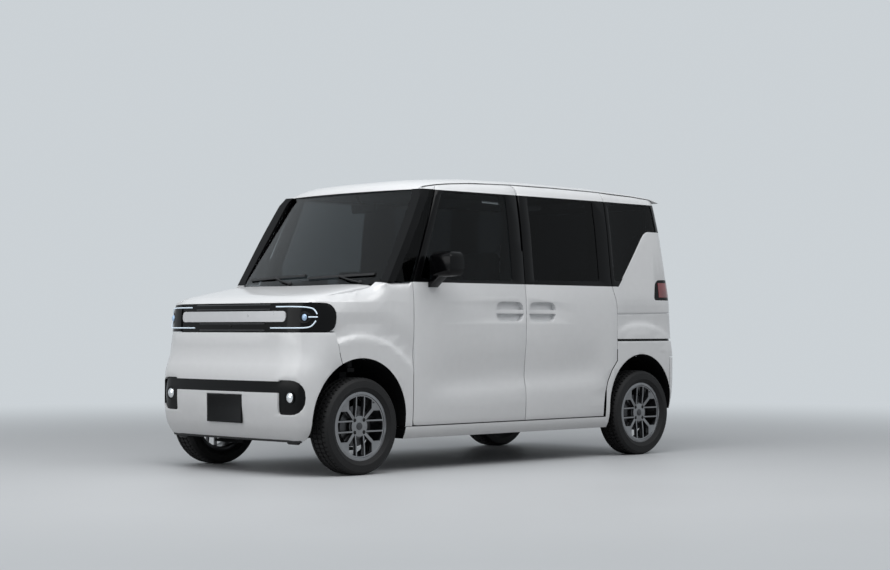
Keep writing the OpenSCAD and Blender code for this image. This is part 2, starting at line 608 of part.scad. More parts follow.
module tailgate_glass() color("black") difference() {
    intersection() {
        translate([0, -3, 0]) tail(1120, window_z, rear(297.5));
        front_cut(rear(297.5), rear(-102.5)) offset(delta = -0.3) tailgate_window();
    }
    translate([0, -3 - glass_t, 0]) tail(1100, window_z + 20, rear(317.5));
}
module tail_lamps() color("red") pair() difference() {
    intersection() {
        flank(tail_columns, 1010, 1200);
        side_cut(wing_x - 9, 900) tail_lamp_side();
    }
    translate([-38, -38, 0]) flank(tail_columns, 1000, 1210);
    front_cut(rear(257.5), rear(-102.5)) offset(delta = g) tailgate_outline();
}
tail_columns = concat([for (v = [0.4:0.15:1]) [QUARTER, v]], [for (v = [75:-15:0]) [BACK_CORNER, v]]);

// Cabin and structure
module floor_pan() color("dimgray") {
    block([0.3 - inner_x, front(797.5), 270], [inner_x - 0.3, rear(767.5), 300]);
    block([-420, rear(797.5), 270], [420, rear(767.5), 430]);
    block([-420, rear(797.5), 400], [420, rear(92.5), 430]);
    block([-380, front(732.5), 270], [380, front(817.5), 300]);
    block([-380, front(732.5), 290], [380, front(752.5), 1030]);
    for (s = [-1, 1]) block([s * 300 - 40, front(107.5), 330], [s * 300 + 40, front(747.5), 420]);
    block([-385, front(97.8), 400], [385, front(137.5), 480]);
    block([-560, rear(107.5), 390], [560, rear(77.8), 470]);
}
module battery_pack() color("gray") block([-520, front(937.5), sill_z], [520, rear(857.5), 270]);
module drive_unit() color("silver") {
    block([-240, front(197.5), 440], [240, front(657.5), 700]);
    translate([-240, front(397.5), 420]) rotate([0, 90, 0]) cylinder(r = 120, h = 480);
    for (y = [front(257.5), front(597.5)]) block([-330, y - 20, 420.3], [330, y + 20, 450]);
}
bulkhead_y = front(752.5);
module dashboard() color("dimgray") difference() {
    union() {
        translate([0, bulkhead_y, 0]) side_cut(-556, 556) polygon(rounded([[-55, 1030, 0], [-15, 1085, 20],
            [185, 1070, 40], [255, 1010, 40], [225, 900, 30], [145, 760, 40], [45, 720, 0],
                [0.3, 720, 0], [0.3, 1030, 0]]));
        column_turn() translate([0, 0, -330]) cylinder(r = 32, h = 280);
    }
    column_turn() translate([0, 0, -200]) cylinder(r = 14 + stub_gap, h = 300);
}
// Steering column, its own axis up toward the driver
module column_turn() translate([-320, bulkhead_y + 425, 955]) rotate([-62, 0, 0]) children();
module steering_wheel() color("black") column_turn() {
    rotate_extrude() translate([172, 0]) circle(14);
    translate([0, 0, -28]) cylinder(r = 62, h = 34);
    translate([0, 0, -190]) cylinder(r = 14, h = 180);
    for (a = [0, 180, 270]) rotate([0, 0, a]) block([40, -20, -16], [165, 20, 0]);
}
// Seats, measured from the front edge of the cushion
module front_seats() color("dimgray") translate([0, bulkhead_y + 425, 0]) pair() {
    side_cut(90, 545) polygon(rounded([[0, 430, 30], [0, 560, 60], [400, 540, 60], [580, 1150, 50],
        [690, 1140, 50],
        [550, 440, 60]]));
    side_cut(190, 440) polygon(rounded([[592, 1140, 0], [615, 1330, 40], [710, 1325, 40], [688, 1120, 0]]));
    block([130, 80, 300], [500, 460, 440]);
}
module rear_seat() color("dimgray") translate([0, rear(1217.5), 0]) {
    side_cut(-550, 550) polygon(rounded([[0, 430, 30], [0, 560, 60], [370, 540, 60], [505, 1090, 50],
        [610, 1080, 50],
        [445, 440, 30]]));
    block([-400, 40, 300], [400, 420, 440]);
    for (s = [-1, 1]) side_cut(s * 300 - 120, s * 300 + 120)
        polygon(rounded([[510, 1070, 0], [540, 1240, 40], [620, 1235, 40], [600, 1060, 0]]));
}
module wipers() color("black") difference() {
    intersection() {
        translate([0, -12, 0]) screen(belt_z, belt_z + 80, front(1197.5));
        front_cut(front(397.5), front(1197.5)) for (w = [[-570, 20], [60, 580]])
            polygon([[w[0], belt_z + 22], [w[1], belt_z + 40], [w[1], belt_z + 54], [w[0], belt_z + 36]]);
    }
    translate([0, -0.3, 0]) screen(belt_z - 20, belt_z + 100, front(1217.5));
}

// Wheels, built on their own axis with the outer face up
hub_r = 70;
module tyre() rotate_extrude() difference() {
    polygon(rounded([[rim_d / 2 + 0.4, -51, 0], [rim_d / 2 + 9.6, -57, 0], [rim_d / 2 + 9.6, -67, 0],
        [rim_d / 2 + 32, -tyre_w / 2, 16], [tyre_d / 2 - 26, -tyre_w / 2 + 1, 14],
        [tyre_d / 2, -tyre_w / 2 + 24, 12], [tyre_d / 2, tyre_w / 2 - 24, 12],
            [tyre_d / 2 - 26, tyre_w / 2 - 1, 14],
        [rim_d / 2 + 32, tyre_w / 2, 16], [rim_d / 2 + 9.6, 67, 0], [rim_d / 2 + 9.6, 57, 0],
            [rim_d / 2 + 0.4, 51, 0]]));
    for (v = [-38, 0, 38]) translate([tyre_d / 2 - 7, v - 4]) square([20, 8]);
}
// Four pairs of thin spokes, and four diagonal ones that widen into pads at the rim
spoke_w = 9;
spoke_pair = 31;
diagonal_w = 19;
pad_edge = 88;
module spoke_face()
{
    difference() {
        circle(rim_d / 2 - 8);
        circle(rim_d / 2 - 17);
    }
    circle(hub_r - 10);
    for (a = [0:90:270]) rotate(a) {
        for (s = [-1, 1]) translate([hub_r / 2, s * spoke_pair - spoke_w / 2])
            square([rim_d / 2 - 12 - hub_r / 2, spoke_w]);
        rotate(45) translate([0, -diagonal_w / 2]) square([pad_edge * 1.5, diagonal_w]);
        intersection() {
            circle(rim_d / 2 - 8);
            translate([pad_edge, pad_edge]) square(rim_d);
        }
    }
}
module rim() difference() {
    union() {
        rotate_extrude() polygon([[rim_d / 2, -66], [rim_d / 2 + 9, -66], [rim_d / 2 + 9, -58],
            [rim_d / 2, -52], [rim_d / 2, 52],
            [rim_d / 2 + 9, 58], [rim_d / 2 + 9, 66], [rim_d / 2 - 8, 66], [rim_d / 2 - 16, 48],
                [rim_d / 2 - 16, -54], [rim_d / 2 - 8, -66]]);
        intersection() {
            translate([0, 0, 20]) linear_extrude(60) spoke_face();
            rotate_extrude() polygon([[0, 30], [80, 32], [rim_d / 2 - 4, 40], [rim_d / 2 - 4, 62],
                [120, 60], [60, 52], [0, 50]]);
        }
        translate([0, 0, -4]) cylinder(r = hub_r, h = 46);
        translate([0, 0, -4]) cylinder(r = 118, h = 18);
    }
    translate([0, 0, -10]) cylinder(r = stub_r + stub_gap, h = 50);
    for (a = [0:90:270]) rotate(a + 45) translate([50, 0, 34]) cylinder(r = 11, h = 40);
}
module left_wheel(y) translate([track / 2, y, axle_z]) rotate([0, 90, 0]) children();
module right_wheel(y) translate([-track / 2, y, axle_z]) rotate([0, -90, 0]) children();
module tyre_front_left() color("black") left_wheel(front_y) tyre();
module tyre_front_right() color("black") right_wheel(front_y) tyre();
module tyre_rear_left() color("black") left_wheel(rear_y) tyre();
module tyre_rear_right() color("black") right_wheel(rear_y) tyre();
module rim_front_left() color("silver") left_wheel(front_y) rim();
module rim_front_right() color("silver") right_wheel(front_y) rim();
module rim_rear_left() color("silver") left_wheel(rear_y) rim();
module rim_rear_right() color("silver") right_wheel(rear_y) rim();

// Front knuckle that turns about a standing pin, and what carries it
pin_x = track / 2 - scrub;
pin_r = 9;
module knuckle() difference() {
    union() {
        translate([pin_x - 60, front_y, axle_z]) rotate([0, 90, 0]) cylinder(r = stub_r, h = scrub + 98);
        block([pin_x - 68, front_y - 42, 162], [pin_x - 42, front_y + 42, 400]);
        block([pin_x - 68, front_y - 26, 390], [pin_x - 44, front_y + 26, 616]);
        block([pin_x - 68, front_y - 26, 594], [pin_x + 26, front_y + 26, 616]);
        block([pin_x - 68, front_y - 26, 162], [pin_x + 26, front_y + 26, 182]);
    }
    translate([pin_x, front_y, 100]) cylinder(r = pin_r + stub_gap, h = 100);
    translate([pin_x, front_y, 580]) cylinder(r = pin_r + stub_gap, h = 60);
}
module knuckle_left() color("gray") knuckle();
module knuckle_right() color("gray") mirror([1, 0, 0]) knuckle();
module front_suspension() color("gray") {
    block([-385, front_y - 60, 200], [385, front_y + 60, 260]);
    for (s = [-1, 1]) block([s * 300 - 40, front_y - 60, 250], [s * 300 + 40, front_y + 60, 330]);
    pair() {
        block([360, front_y - 30, 140], [pin_x + 24, front_y + 30, 157]);
        block([340, front_y - 30, 140], [384, front_y + 30, 230]);
        translate([pin_x, front_y, 150]) cylinder(r = pin_r, h = 31);
        translate([pin_x, front_y, 595]) cylinder(r = pin_r, h = 40);
        translate([pin_x, front_y, 621]) cylinder(r = 24, h = 220);
        block([260, front_y - 90, 840], [pin_x + 40, front_y + 90, 870]);
        block([260, front_y - 90, 420], [300, front_y + 90, 845]);
    }
}
arm_x = track / 2 - 150;
module rear_axle() color("gray") {
    translate([20 - arm_x, rear_y - 190, axle_z + 30]) rotate([0, 90, 0])
        cylinder(r = 38, h = 2 * arm_x - 40);
    pair() {
        translate([arm_x, rear_y, axle_z]) rotate([0, 90, 0]) cylinder(r = stub_r, h = 188);
        block([arm_x - 50, rear_y - 330, 210], [arm_x, rear_y - 150, 320]);
        block([arm_x - 50, rear_y - 200, 240], [arm_x + 20, rear_y + 50, 330]);
        block([arm_x - 60, rear_y - 420, 210], [arm_x, rear_y - 325, 269.7]);
    }
}
module arch_liners() color("black") pair() {
    liner(front_arch, front_arch_r - 0.3, pin_x - 208, wing_x - 0.3, 240);
    liner(rear_arch, rear_arch_r - 0.3, arm_x - 75, rail_x - 0.3, 340);
}
module liner(centre, r, low, high, foot) difference() {
    union() {
        difference() {
            side_cut(low, high) translate(centre) circle(r);
            side_cut(low - 5, high + 5) translate(centre) circle(r - 4);
        }
        side_cut(low, low + 4) translate(centre) difference() {
            circle(r - 1);
            circle(r - 90);
        }
    }
    block([low - 10, centre[0] - 500, -100], [high + 10, centre[0] + 500, foot]);
    translate([pin_x, centre[0], 560]) cylinder(r = 36, h = 200);
}
module mirror_left() color("black") mirror_pod();
module mirror_right() color("black") mirror([1, 0, 0]) mirror_pod();
module mirror_pod() {
    intersection() {
        side_cut(half_w + 22.5, half_w + 202.5) polygon(rounded([[front(952.5), 1150, 40],
            [front(942.5), 1300, 50], [front(1057.5), 1310, 40], [front(1072.5), 1160, 40]]));
        front_cut(front(897.5), front(1197.5)) polygon(rounded([[half_w + 17.5, 1150, 40],
            [half_w + 27.5, 1305, 50], [half_w + 202.5, 1310, 60], [half_w + 192.5, 1150, 50]]));
    }
    front_cut(front(967.5), front(1047.5)) polygon([[flank_x(front(1007.5), 1092) + 0.5, 1092],
        [flank_x(front(1007.5), 1118) + 0.5, 1118], [half_w + 52.5, 1180], [half_w + 72.5, 1155]]);
}

floor_pan();
battery_pack();
drive_unit();
side_frame_left();
side_frame_right();
windscreen_frame();
roof();
front_wings();
front_bumper();
grilles();
nose_bar();
front_lamps();
front_plate();
windscreen();
wipers();
sliding_door_left();
sliding_door_right();
side_glass();
rear_bumper();
tail_lamps();
dashboard();
front_seats();
rear_seat();
front_suspension();
rear_axle();
arch_liners();
bonnet();
tailgate();
tailgate_glass();
front_door_left();
front_door_right();
door_glass_left();
door_glass_right();
mirror_left();
mirror_right();
knuckle_left();
knuckle_right();
steering_wheel();
tyre_front_left();
tyre_front_right();
tyre_rear_left();
tyre_rear_right();
rim_front_left();
rim_front_right();
rim_rear_left();
rim_rear_right();
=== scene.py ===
# %% [markdown]
# A small upright electric car stands on a pale studio floor. Its solids come from the CAD frame, at
# their real size and place. This lesson dresses them: it rounds the panels, paints them, cuts the
# tread, lights the lamps, and photographs the car from its left front corner.

import json
import math

import bpy
from mathutils import Matrix, Vector

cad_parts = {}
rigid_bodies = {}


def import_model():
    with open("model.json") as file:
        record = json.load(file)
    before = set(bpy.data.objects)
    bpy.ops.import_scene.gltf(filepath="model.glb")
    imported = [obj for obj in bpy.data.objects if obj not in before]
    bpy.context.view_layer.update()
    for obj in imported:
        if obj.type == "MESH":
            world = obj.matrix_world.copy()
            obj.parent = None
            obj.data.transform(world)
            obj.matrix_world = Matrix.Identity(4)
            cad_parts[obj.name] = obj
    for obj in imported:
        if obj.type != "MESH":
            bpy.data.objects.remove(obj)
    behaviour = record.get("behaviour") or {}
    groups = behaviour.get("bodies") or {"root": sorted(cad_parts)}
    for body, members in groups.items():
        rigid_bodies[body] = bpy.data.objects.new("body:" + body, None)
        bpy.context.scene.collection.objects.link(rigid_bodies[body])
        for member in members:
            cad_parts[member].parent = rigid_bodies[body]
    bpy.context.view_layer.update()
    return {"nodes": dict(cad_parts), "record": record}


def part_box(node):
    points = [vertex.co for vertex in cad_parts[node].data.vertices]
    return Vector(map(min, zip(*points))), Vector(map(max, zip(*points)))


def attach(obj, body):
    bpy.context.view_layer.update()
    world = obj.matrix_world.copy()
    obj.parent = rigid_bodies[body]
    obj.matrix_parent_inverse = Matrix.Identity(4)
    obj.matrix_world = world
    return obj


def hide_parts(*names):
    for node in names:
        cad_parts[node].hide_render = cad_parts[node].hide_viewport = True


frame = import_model()
nodes = frame["nodes"]
bodies = frame["record"]["behaviour"]["bodies"]
node_body = {node: body for body, members in bodies.items() for node in members}
print("frame loaded with", len(nodes), "nodes")

# %% [markdown]
# A finish is one Principled shader. Numbers that are the same all over the surface sit on the
# shader's own sockets, where an export finds them.


# %% Finish
def finish(name, colour, rough, metal=0.0, coat=0.0, through=0.0, glow=0.0, shine=0.5, bend=1.5):
    material = bpy.data.materials.new(name)
    material.use_nodes = True
    shader = material.node_tree.nodes["Principled BSDF"]
    shader.inputs["Base Color"].default_value = (*colour, 1)
    shader.inputs["Roughness"].default_value = rough
    shader.inputs["Metallic"].default_value = metal
    shader.inputs["Coat Weight"].default_value = coat
    shader.inputs["Coat Roughness"].default_value = 0.12
    shader.inputs["Specular IOR Level"].default_value = shine
    shader.inputs["IOR"].default_value = bend
    shader.inputs["Transmission Weight"].default_value = through
    if glow:
        shader.inputs["Emission Color"].default_value = (*colour, 1)
        shader.inputs["Emission Strength"].default_value = glow
    return material


print("finish ready")

# %% [markdown]
# No real surface is quite even, so two noises on Object coordinates add what the eye expects: a fine
# one tilts the normal like orange peel, moulded grain or weave, and a broad one shifts the tone and
# the gloss a little. A scanned picture could do this too, but noise has no seams and needs no file.


# %% Grain
def grain(material, scale, height, tone=0.12, spread=0.06, detail=3.0):
    tree = material.node_tree
    shader = tree.nodes["Principled BSDF"]
    place = tree.nodes.new("ShaderNodeTexCoord")
    fine = tree.nodes.new("ShaderNodeTexNoise")
    fine.inputs["Scale"].default_value = scale
    fine.inputs["Detail"].default_value = detail
    bump = tree.nodes.new("ShaderNodeBump")
    bump.inputs["Strength"].default_value = 0.35
    bump.inputs["Distance"].default_value = height
    broad = tree.nodes.new("ShaderNodeTexNoise")
    broad.inputs["Scale"].default_value = scale / 40
    tones = tree.nodes.new("ShaderNodeValToRGB")
    colour = shader.inputs["Base Color"].default_value
    tones.color_ramp.elements[0].position = 0.3
    tones.color_ramp.elements[0].color = [c * (1 - tone) for c in colour[:3]] + [1]
    tones.color_ramp.elements[1].position = 0.7
    tones.color_ramp.elements[1].color = [min(1, c * (1 + tone)) for c in colour[:3]] + [1]
    gloss = tree.nodes.new("ShaderNodeMapRange")
    rough = shader.inputs["Roughness"].default_value
    gloss.inputs["To Min"].default_value = max(0.0, rough - spread)
    gloss.inputs["To Max"].default_value = min(1.0, rough + spread)
    tree.links.new(place.outputs["Object"], fine.inputs["Vector"])
    tree.links.new(place.outputs["Object"], broad.inputs["Vector"])
    tree.links.new(fine.outputs["Fac"], bump.inputs["Height"])
    tree.links.new(broad.outputs["Fac"], tones.inputs["Fac"])
    tree.links.new(broad.outputs["Fac"], gloss.inputs["Value"])
    tree.links.new(bump.outputs["Normal"], shader.inputs["Normal"])
    tree.links.new(tones.outputs["Color"], shader.inputs["Base Color"])
    tree.links.new(gloss.outputs["Result"], shader.inputs["Roughness"])
    return material


print("grain ready")

# %% [markdown]
# The outside is pearl white paint, black trim and tinted glass. Black in a pale studio soon looks
# grey, so the blacks have little shine, and the glass bends light less than real glass does.

# %% Paint, black trim and glass
pearl = grain(
    finish("pearl_white", (0.74, 0.752, 0.765), 0.36, coat=0.7), 900, 0.00004, tone=0.012, spread=0.03
)
black = grain(finish("gloss_black", (0.002, 0.002, 0.0024), 0.14, shine=0.16), 500, 0.00002, spread=0.03)
satin_black = grain(finish("satin_black", (0.012, 0.012, 0.013), 0.5, shine=0.35), 400, 0.0002)
screen_glass = grain(
    finish("screen_glass", (0.2, 0.22, 0.23), 0.0, through=1.0, bend=1.36), 3, 0.0001, tone=0.03, spread=0.0
)
clear_glass = grain(
    finish("door_glass", (0.17, 0.185, 0.19), 0.0, through=1.0, bend=1.22), 3, 0.0001, tone=0.03, spread=0.0
)
dark_glass = grain(
    finish("privacy_glass", (0.025, 0.027, 0.03), 0.0, through=1.0, bend=1.2),
    3, 0.0001, tone=0.05, spread=0.0,
)
mirror_face = grain(
    finish("mirror_face", (0.85, 0.86, 0.87), 0.03, metal=1.0), 4, 0.00005, tone=0.01, spread=0.01
)
print("finishes so far:", len(bpy.data.materials))

# %% [markdown]
# Wheels, lamps and the parts below need rubber, metals, lenses and dull plastics. Under the car and in the
# arches these are darker than their own colour: painted shade. A lamp that is lit glows faintly by itself:
# more would turn it into a flat white patch.

# %% Wheels, lamps and running gear
rubber = grain(finish("tyre_rubber", (0.009, 0.009, 0.0095), 0.65, shine=0.3), 260, 0.0003, tone=0.2)
dark_alloy = grain(finish("dark_alloy", (0.05, 0.051, 0.055), 0.35, metal=0.7, coat=0.4), 700, 0.00005)
bright_alloy = grain(
    finish("machined_alloy", (0.24, 0.244, 0.252), 0.3, metal=0.85), 1200, 0.00008, tone=0.06
)
chrome = grain(
    finish("reflector_chrome", (0.8, 0.82, 0.84), 0.08, metal=1.0), 90, 0.0004, tone=0.05, spread=0.04
)
bar_white = grain(
    finish("bar_satin_white", (0.66, 0.67, 0.69), 0.3, metal=0.15, coat=0.5), 800, 0.00003, tone=0.02
)
light_white = grain(finish("running_light", (0.72, 0.84, 0.95), 0.25, glow=0.3), 300, 0.0001, tone=0.03)
lens_blue = grain(
    finish("projector_lens", (0.4, 0.58, 0.82), 0.08, metal=0.3, coat=1.0, glow=0.12), 60, 0.0003, tone=0.2
)
lens_red = grain(finish("tail_lens", (0.2, 0.008, 0.012), 0.14, coat=0.8), 350, 0.0003, tone=0.25)
steel = grain(finish("coated_steel", (0.02, 0.02, 0.021), 0.55, metal=0.4), 120, 0.0004, tone=0.2)
# nearly black, darker than the coating itself: painted shade on the struts and axle in the arches
strut_black_and_shade = grain(finish("strut_coating_and_shade", (0.005, 0.005, 0.0055), 0.6, shine=0.2), 200, 0.0004, tone=0.2)
# much darker than bare cast metal: painted shade on the battery and drive unit under the car
casting_and_shade = grain(finish("cast_casing_and_shade", (0.12, 0.122, 0.126), 0.5, metal=0.8), 160, 0.0004, tone=0.15)
# near-black, darker than the plastic itself: painted shade inside the wheel arches
liner_and_arch_shade = grain(finish("liner_plastic_and_arch_shade", (0.004, 0.004, 0.0045), 0.88, shine=0.1), 300, 0.0004, tone=0.2)
cloth = grain(finish("seat_cloth", (0.045, 0.045, 0.05), 0.9, shine=0.2), 700, 0.0009, tone=0.25, detail=6.0)
print("finishes:", len(bpy.data.materials))

# %% [markdown]
# Operators act on what is selected, so a few helpers select one object, or only some of its faces,
# and open it for editing.


# %% Helpers for selecting
def select_only(obj):
    bpy.ops.object.select_all(action="DESELECT")
    obj.select_set(True)
    bpy.context.view_layer.objects.active = obj


def edit(obj):
    select_only(obj)
    bpy.ops.object.mode_set(mode="EDIT")
    bpy.ops.mesh.select_all(action="SELECT")


def done():
    bpy.ops.object.mode_set(mode="OBJECT")


def edit_faces(obj, wanted):
    edit(obj)
    bpy.ops.mesh.select_mode(type="FACE")
    bpy.ops.mesh.select_all(action="DESELECT")
    done()
    for face in obj.data.polygons:
        face.select = wanted(face)
    bpy.ops.object.mode_set(mode="EDIT")


print("selecting ready")

# %% [markdown]
# Each CAD node is a set of loose triangles. A copy is merged into one skin, so that it can be
# shaded smoothly and its sharp edges rounded by a Bevel modifier, as pressed panels are.


# %% Helpers for copied pieces
def copied(node, name, flat=0.3):
    obj = bpy.data.objects.new(name, nodes[node].data.copy())
    bpy.context.scene.collection.objects.link(obj)
    obj.data.materials.clear()
    edit(obj)
    bpy.ops.mesh.customdata_custom_splitnormals_clear()
    bpy.ops.mesh.remove_doubles(threshold=1e-4)
    bpy.ops.mesh.dissolve_degenerate(threshold=1e-4)
    bpy.ops.mesh.dissolve_limited(angle_limit=math.radians(flat))
    done()
    return obj


def copy_of(obj, name, shift):
    twin = bpy.data.objects.new(name, obj.data.copy())
    bpy.context.scene.collection.objects.link(twin)
    twin.data.transform(Matrix.Translation(shift))
    return twin


def rounded(obj, width, angle=38, segments=2):
    select_only(obj)
    bevel = obj.modifiers.new("round", "BEVEL")
    bevel.width = width
    bevel.segments = segments
    bevel.angle_limit = math.radians(angle)
    bevel.harden_normals = False
    bpy.ops.object.modifier_apply(modifier="round")


def smooth(obj, angle=32):
    select_only(obj)
    bpy.ops.object.shade_smooth_by_angle(angle=math.radians(angle))


def stands_for(obj, node):
    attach(obj, node_body[node])
    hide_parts(node)


def cut_at(obj, point, normal, drop=None):
    edit(obj)
    bpy.ops.mesh.bisect(
        plane_co=point, plane_no=normal, clear_inner=drop == "behind", clear_outer=drop == "ahead"
    )
    done()


print("helpers ready")

# %% [markdown]
# Between the belt line and the window tops the doors and side frames are gloss black, so that the
# pillars disappear between the windows. Behind the sliding door the black climbs along the slanted
# foot of the rear window. A mask in the material could draw this band, but Bisect cuts put real edges
# exactly there, and the faces above the foot take the second finish. The slide rail's groove is black
# as well.

# %% Black window band
belt_drop, window_drop = 0.567, 0.002
belt_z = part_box("windscreen_frame")[1][2] - belt_drop
window_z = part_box("windscreen_frame")[1][2] - window_drop
quarter_low = Vector((0, 1.072, belt_z + 0.038))
quarter_high = Vector((0, 1.37, 1.5))
slope = (quarter_high.z - quarter_low.z) / (quarter_high.y - quarter_low.y)
rail_start = 1.03
rail_low, rail_high = 0.758, 0.778
band_cuts = [
    ((0, 0, belt_z), (0, 0, 1)),
    ((0, 0, window_z), (0, 0, 1)),
    ((0, 0, quarter_high.z), (0, 0, 1)),
    (quarter_low, (0, -slope, 1)),
]


def band_foot(y):
    return max(belt_z, min(quarter_high.z, quarter_low.z + slope * (y - quarter_low.y)))


def blacken_band(panel):
    panel.data.materials.append(black)
    for point, normal in band_cuts:
        cut_at(panel, point, normal)
    for face in panel.data.polygons:
        place = face.center
        in_band = band_foot(place.y) < place.z < window_z
        in_rail = place.y > rail_start and rail_low < place.z < rail_high
        face.material_index = int(in_band or in_rail)


print("belt line at", round(belt_z, 3), "m")

# %% [markdown]
# The panels around the wheels are painted outside only. Their faces that look into an arch, near an axle
# and not outward, take the liners' near-black, which is painted shade for the inside of the arch.

# %% Inside of the wheel arches
arched = ["front_wings", "front_bumper", "side_frame_left", "side_frame_right", "rear_bumper"]
rim_boxes = (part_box("rim_front_left"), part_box("rim_rear_left"))
arches = [((a[1] + b[1]) / 2, (a[2] + b[2]) / 2) for a, b in rim_boxes]
arch_reach, arch_top, arch_end = 0.5, 0.7, 1.62
turned_in = 0.25


def looks_in(face):
    place = face.center
    across = face.normal.x * math.copysign(1, place.x)
    to_axle = min(math.hypot(place.y - y, place.z - z) for y, z in arches)
    return to_axle < arch_reach and across < turned_in and place.z < arch_top and abs(place.y) < arch_end


# the faces that look into an arch take the liners' near-black as painted shade
def line_and_shade_arches(panel):
    panel.data.materials.append(liner_and_arch_shade)
    for face in panel.data.polygons:
        if looks_in(face):
            face.material_index = len(panel.data.materials) - 1


print("axles at", [round(y, 3) for y, z in arches])

# %% [markdown]
# The top of the wing turns a tight corner at the foot of the windscreen pillar, where flat strips
# would show. These few faces are divided, and Smooth Vertices relaxes the points between them.

# %% Foot of the pillar
relax_cuts = 4
relax_passes = 30
foot_start, foot_end = -1.25, -0.9
foot_low, foot_inner = 0.99, 0.645


def relaxed(obj, within):
    edit_faces(obj, within)
    bpy.ops.mesh.quads_convert_to_tris()
    bpy.ops.mesh.subdivide(number_cuts=relax_cuts)
    bpy.ops.mesh.select_less()
    bpy.ops.mesh.vertices_smooth(factor=0.5, repeat=relax_passes)
    done()


def pillar_foot(face):
    place = face.center
    shown = face.normal.x * math.copysign(1, place.x) > 0.05 or face.normal.z > 0.5
    return shown and foot_start < place.y < foot_end and place.z > foot_low and abs(place.x) > foot_inner


print("pillar foot ready")

# %% [markdown]
# Over each wheel arch a soft arc is pressed into the sheet. Close cuts give the skin enough points,
# and those just past the arc sink by about a centimetre and rise again further out. A sculpted bump
# could do it, but a formula gives the same arc on both sides.

# %% Pressed arcs
arc_depth = 0.013
arc_step = 0.03
arc_return = 0.17
arc_end = 20
row_start, row_gap, row_count = 0.3, 0.018, 26
column_start, column_gap, column_count = -0.4, 0.0222, 36
arcs = {
    "front_wings": (arches[0], 0.505, 30, 128),
    "side_frame_left": (arches[1], 0.58, 52, 122),
    "side_frame_right": (arches[1], 0.58, 52, 122),
}


def eased(share):
    share = max(0.0, min(1.0, share))
    return share * share * (3 - 2 * share)


def press_arc(obj, hub, radius, first, last):
    for k in range(row_count):
        cut_at(obj, (0, 0, hub[1] + row_start + row_gap * k), (0, 0, 1))
    for k in range(column_count):
        cut_at(obj, (0, hub[0] + column_start + column_gap * k, 0), (0, 1, 0))
    across = [vertex.normal.x for vertex in obj.data.vertices]
    for vertex, facing in zip(obj.data.vertices, across):
        side = math.copysign(1, vertex.co.x)
        if facing * side > 0.5:
            along, up = vertex.co.y - hub[0], vertex.co.z - hub[1]
            past = math.hypot(along, up) - radius
            turn = math.degrees(math.atan2(up, along))
            step = eased(past / arc_step) * (1 - eased((past - arc_step) / arc_return))
            ends = eased((turn - first) / arc_end) * (1 - eased((turn - last + arc_end) / arc_end))
            vertex.co.x -= side * arc_depth * step * ends


print("arcs on", len(arcs), "panels")

# %% [markdown]
# Now every painted panel is copied from its node, gets the details that belong to it, and has its
# edges broken by a narrow Bevel, which catches the light as a rolled sheet edge does.

# %% Painted panels
sides = ("left", "right")
panels = ["roof", "front_wings", "front_bumper", "rear_bumper", "bonnet", "tailgate"]
banded = [f"{part}_{side}" for part in ("front_door", "sliding_door", "side_frame") for side in sides]
for node in panels + banded:
    panel = copied(node, "panel_" + node)
    panel.data.materials.append(pearl)
    if node in banded:
        blacken_band(panel)
    if node == "front_wings":
        relaxed(panel, pillar_foot)
    if node in arcs:
        press_arc(panel, *arcs[node])
    if node in arched:
        line_and_shade_arches(panel)
    rounded(panel, 0.0022)
    smooth(panel)
    stands_for(panel, node)
    print(node, len(panel.data.polygons), "faces")

# %% [markdown]
# Glass, lamps and black trim are smooth copies too. The windscreen and front windows let the cabin
# show. The rear windows are dark. Parts that only need a finish keep their CAD mesh.

# %% Glass and trim
smooth_parts = [
    ("windscreen", screen_glass, "glass"),
    ("door_glass_left", clear_glass, "glass"),
    ("door_glass_right", clear_glass, "glass"),
    ("side_glass", dark_glass, "glass"),
    ("tailgate_glass", dark_glass, "glass"),
    ("tail_lamps", black, "tail_lamp"),
    ("nose_bar", bar_white, "bar"),
    ("windscreen_frame", black, "gloss_black"),
    ("grilles", black, "gloss_black"),
    ("front_lamps", black, "lamp"),
    ("front_plate", black, "gloss_black"),
    ("mirror_left", black, "gloss_black"),
    ("mirror_right", black, "gloss_black"),
    ("wipers", satin_black, "trim"),
    ("dashboard", satin_black, "trim"),
    ("steering_wheel", satin_black, "trim"),
]
edge_of = {"mirror_left": 0.012, "mirror_right": 0.012, "dashboard": 0.006, "front_plate": 0.003}
for node, material, slot in smooth_parts:
    part = copied(node, "fitted_" + node, flat=0.3 if node in edge_of else 0.01)
    part.data.materials.append(material)
    if node in edge_of:
        rounded(part, edge_of[node], segments=3)
    smooth(part)
    stands_for(part, node)
for node, material in [
    ("floor_pan", steel), ("front_suspension", strut_black_and_shade), ("rear_axle", strut_black_and_shade),
    ("knuckle_left", strut_black_and_shade), ("knuckle_right", strut_black_and_shade), ("battery_pack", casting_and_shade),
    ("drive_unit", casting_and_shade), ("arch_liners", liner_and_arch_shade),
]:
    nodes[node].data.materials.clear()
    nodes[node].data.materials.append(material)
print("glass and trim:", len(smooth_parts))

# %% [markdown]
# A tyre is round, so one cross-section is enough. Half of the section stands in a short table as
# radius and distance from the middle, and its mirror image completes it. Helpers find each wheel's
# axle from its rim, and number the strips of tread around it.

